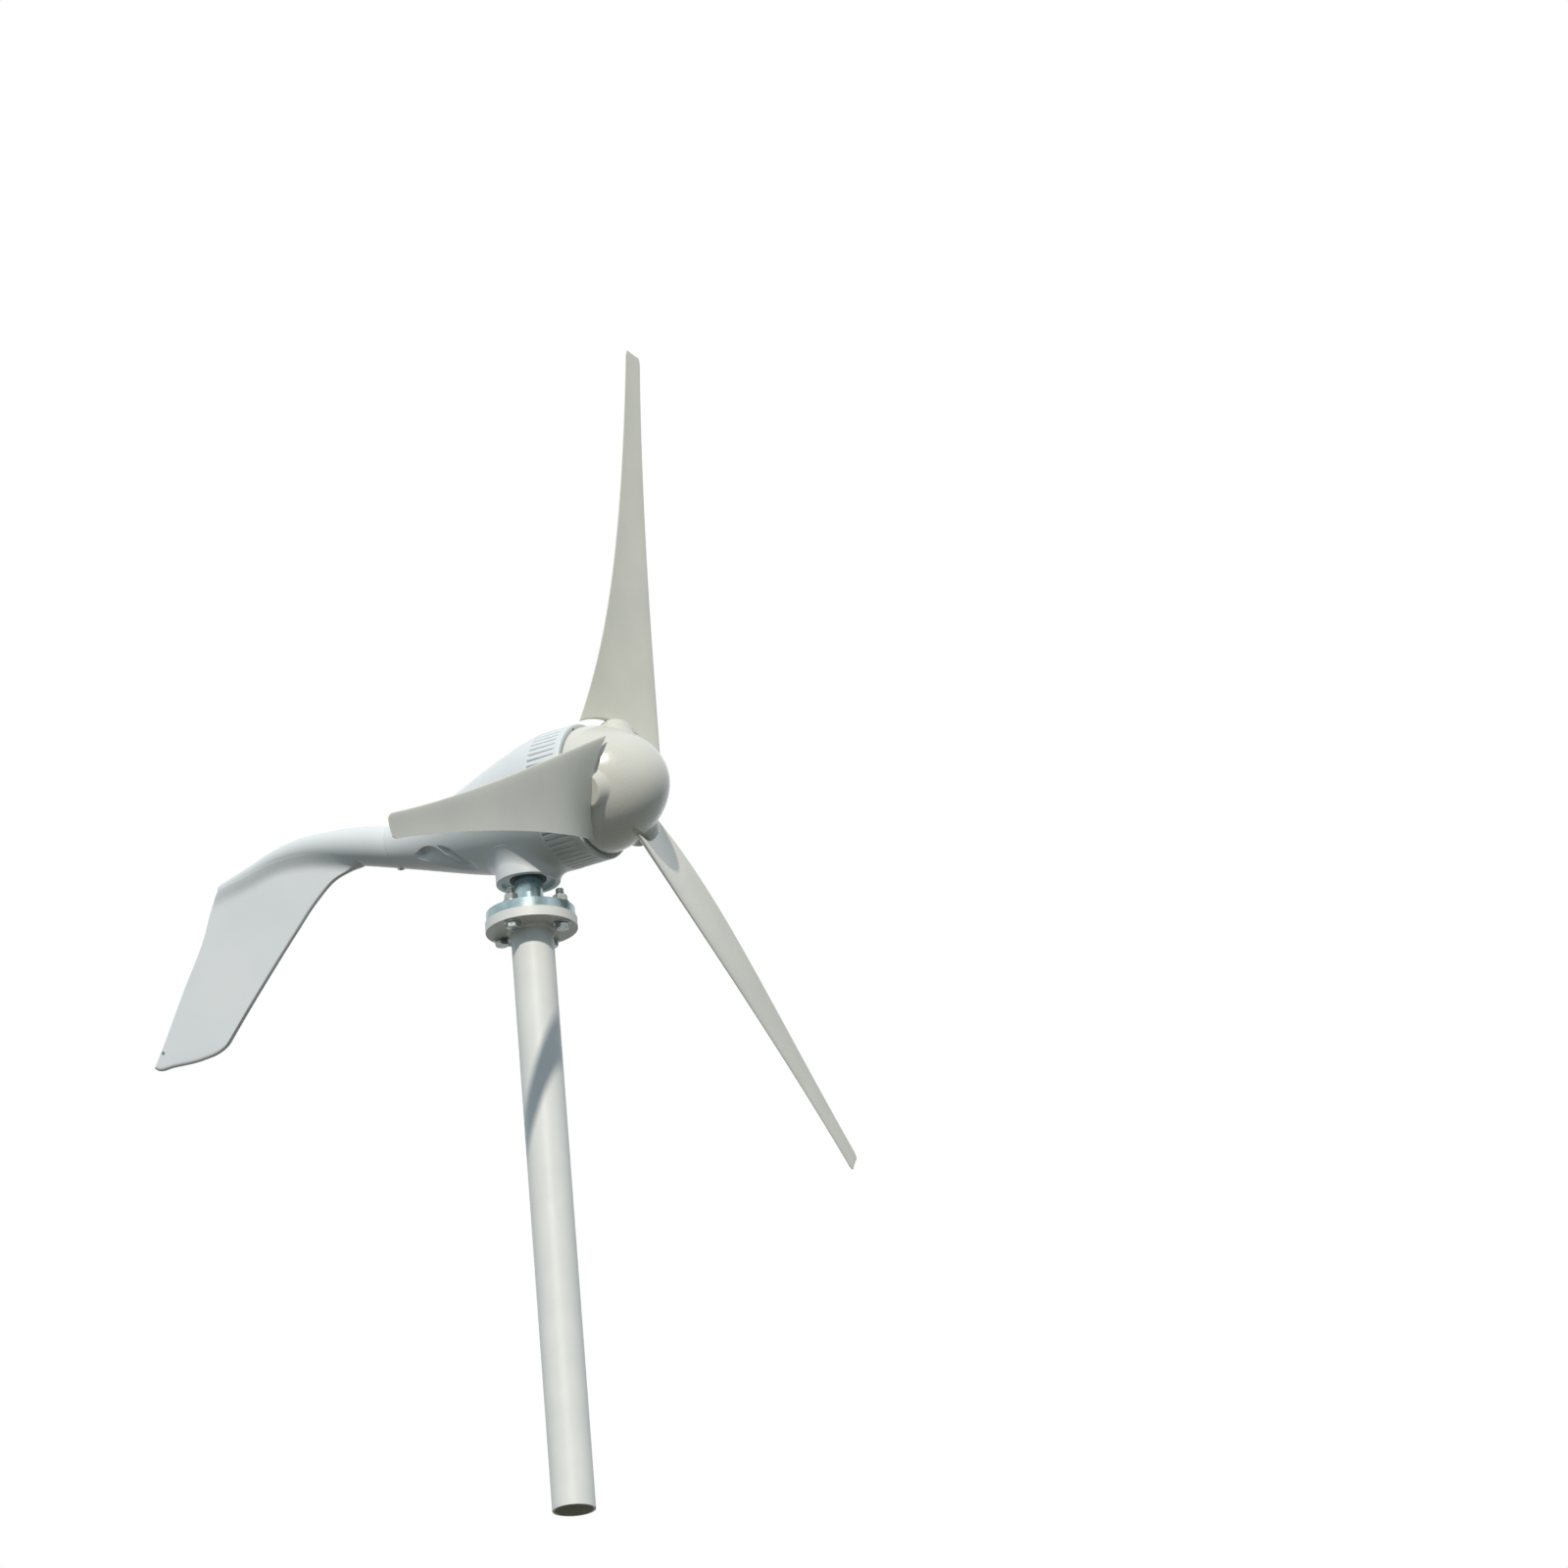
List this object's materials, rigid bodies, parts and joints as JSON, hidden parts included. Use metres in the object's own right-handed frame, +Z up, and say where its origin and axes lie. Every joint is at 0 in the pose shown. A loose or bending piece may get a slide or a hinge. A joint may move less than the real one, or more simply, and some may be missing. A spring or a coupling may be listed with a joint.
{
  "type": "small wind turbine",
  "caption": "Small horizontal-axis wind turbine: three twisted blades on a domed hub, finned generator, slim nacelle with a swept tail fin, turning freely on a flanged mast pipe.",
  "frame": {"origin": "centre of the mast pipe's open lower end", "axes": "+Z up along the mast, the rotor faces -Y into the wind, the tail points to +Y"},
  "size_m": [1.2169, 0.878, 1.7212],
  "materials": {
    "white_paint": "satin powder coat on cast aluminium",
    "white_gelcoat": "semi-gloss gel coat on glass fibre",
    "blade_gelcoat": "semi-gloss gel coat on glass fibre",
    "mast_paint": "satin paint on steel pipe",
    "zinc_plate": "turned, bright zinc plated",
    "zinc_fastener": "zinc plated",
    "machined_steel": "machined",
    "bearing_steel": "ground",
    "stainless_steel": "plain",
    "cast_aluminium": "cast and machined",
    "seal_rubber": "moulded",
    "black_phenolic": "moulded",
    "slip_ring_brass": "turned",
    "brush_carbon": "pressed copper-graphite",
    "lamination_steel": "stacked sheet",
    "copper_winding": "enamelled wire",
    "magnet_nickel": "nickel plated"
  },
  "bodies": {
    "mast": {"mast_tube": "mast_paint", "mast_flange": "mast_paint", "mast_weld": "mast_paint", "yaw_pivot": "zinc_plate", "flange_bolts": "zinc_fastener", "flange_washers": "zinc_fastener", "flange_nuts": "zinc_fastener", "yaw_lock_nut": "machined_steel", "yaw_inner_spacer": "machined_steel", "yaw_lower_bearing_inner": "bearing_steel", "yaw_upper_bearing_inner": "bearing_steel", "slip_ring_drum": "black_phenolic", "slip_rings": "slip_ring_brass"},
    "nacelle": {"nacelle_body": "white_paint", "yaw_outer_spacer": "machined_steel", "yaw_lower_bearing_outer": "bearing_steel", "yaw_upper_bearing_outer": "bearing_steel", "yaw_circlip": "machined_steel", "yaw_seal": "seal_rubber", "brush_holder": "black_phenolic", "brushes": "brush_carbon", "brush_springs": "stainless_steel", "rear_bearing_plate": "white_paint", "bearing_plate_screws": "machined_steel", "stator_housing": "white_paint", "stator_core": "lamination_steel", "stator_coils": "copper_winding", "front_end_shield": "white_paint", "housing_screws": "machined_steel", "front_circlip": "machined_steel", "shaft_seal": "seal_rubber", "front_bearing_outer": "bearing_steel", "rear_bearing_outer": "bearing_steel", "tail_fin": "white_gelcoat", "tail_screws": "machined_steel"},
    "rotor": {"rotor_shaft": "machined_steel", "shaft_keys": "machined_steel", "shaft_sleeve": "machined_steel", "front_bearing_inner": "bearing_steel", "rear_bearing_inner": "bearing_steel", "rotor_core": "lamination_steel", "magnets": "magnet_nickel", "rotor_hub": "cast_aluminium", "hub_washer": "machined_steel", "hub_nut": "machined_steel", "blade_a": "blade_gelcoat", "blade_b": "blade_gelcoat", "blade_c": "blade_gelcoat", "clamp_plates": "stainless_steel", "blade_washers": "stainless_steel", "blade_bolts": "stainless_steel", "spinner_ring": "white_gelcoat", "spinner_nose": "white_gelcoat", "spinner_screws": "stainless_steel"},
    "yaw_lower_balls": {"yaw_lower_bearing_balls": "bearing_steel"},
    "yaw_upper_balls": {"yaw_upper_bearing_balls": "bearing_steel"},
    "front_balls": {"front_bearing_balls": "bearing_steel"},
    "rear_balls": {"rear_bearing_balls": "bearing_steel"}
  },
  "joints": [
    {"name": "yaw", "type": "hinge", "parent": "mast", "child": "nacelle", "pos_m": [0, 0, 0.86], "axis": [0, 0, 1], "continuous": true},
    {"name": "rotor_spin", "type": "hinge", "parent": "nacelle", "child": "rotor", "pos_m": [0, -0.18, 1.0255], "axis": [0, -1, 0], "continuous": true},
    {"name": "yaw_lower_balls_turn", "type": "hinge", "parent": "mast", "child": "yaw_lower_balls", "pos_m": [0, 0, 0.86], "axis": [0, 0, 1], "continuous": true},
    {"name": "yaw_upper_balls_turn", "type": "hinge", "parent": "mast", "child": "yaw_upper_balls", "pos_m": [0, 0, 0.86], "axis": [0, 0, 1], "continuous": true},
    {"name": "front_balls_turn", "type": "hinge", "parent": "nacelle", "child": "front_balls", "pos_m": [0, -0.18, 1.0255], "axis": [0, -1, 0], "continuous": true},
    {"name": "rear_balls_turn", "type": "hinge", "parent": "nacelle", "child": "rear_balls", "pos_m": [0, -0.18, 1.0255], "axis": [0, -1, 0], "continuous": true}
  ],
  "couplings": [
    {"joint": "yaw_lower_balls_turn", "follows": "yaw", "ratio": 0.6031},
    {"joint": "yaw_upper_balls_turn", "follows": "yaw", "ratio": 0.6031},
    {"joint": "front_balls_turn", "follows": "rotor_spin", "ratio": 0.3969},
    {"joint": "rear_balls_turn", "follows": "rotor_spin", "ratio": 0.3815}
  ]
}
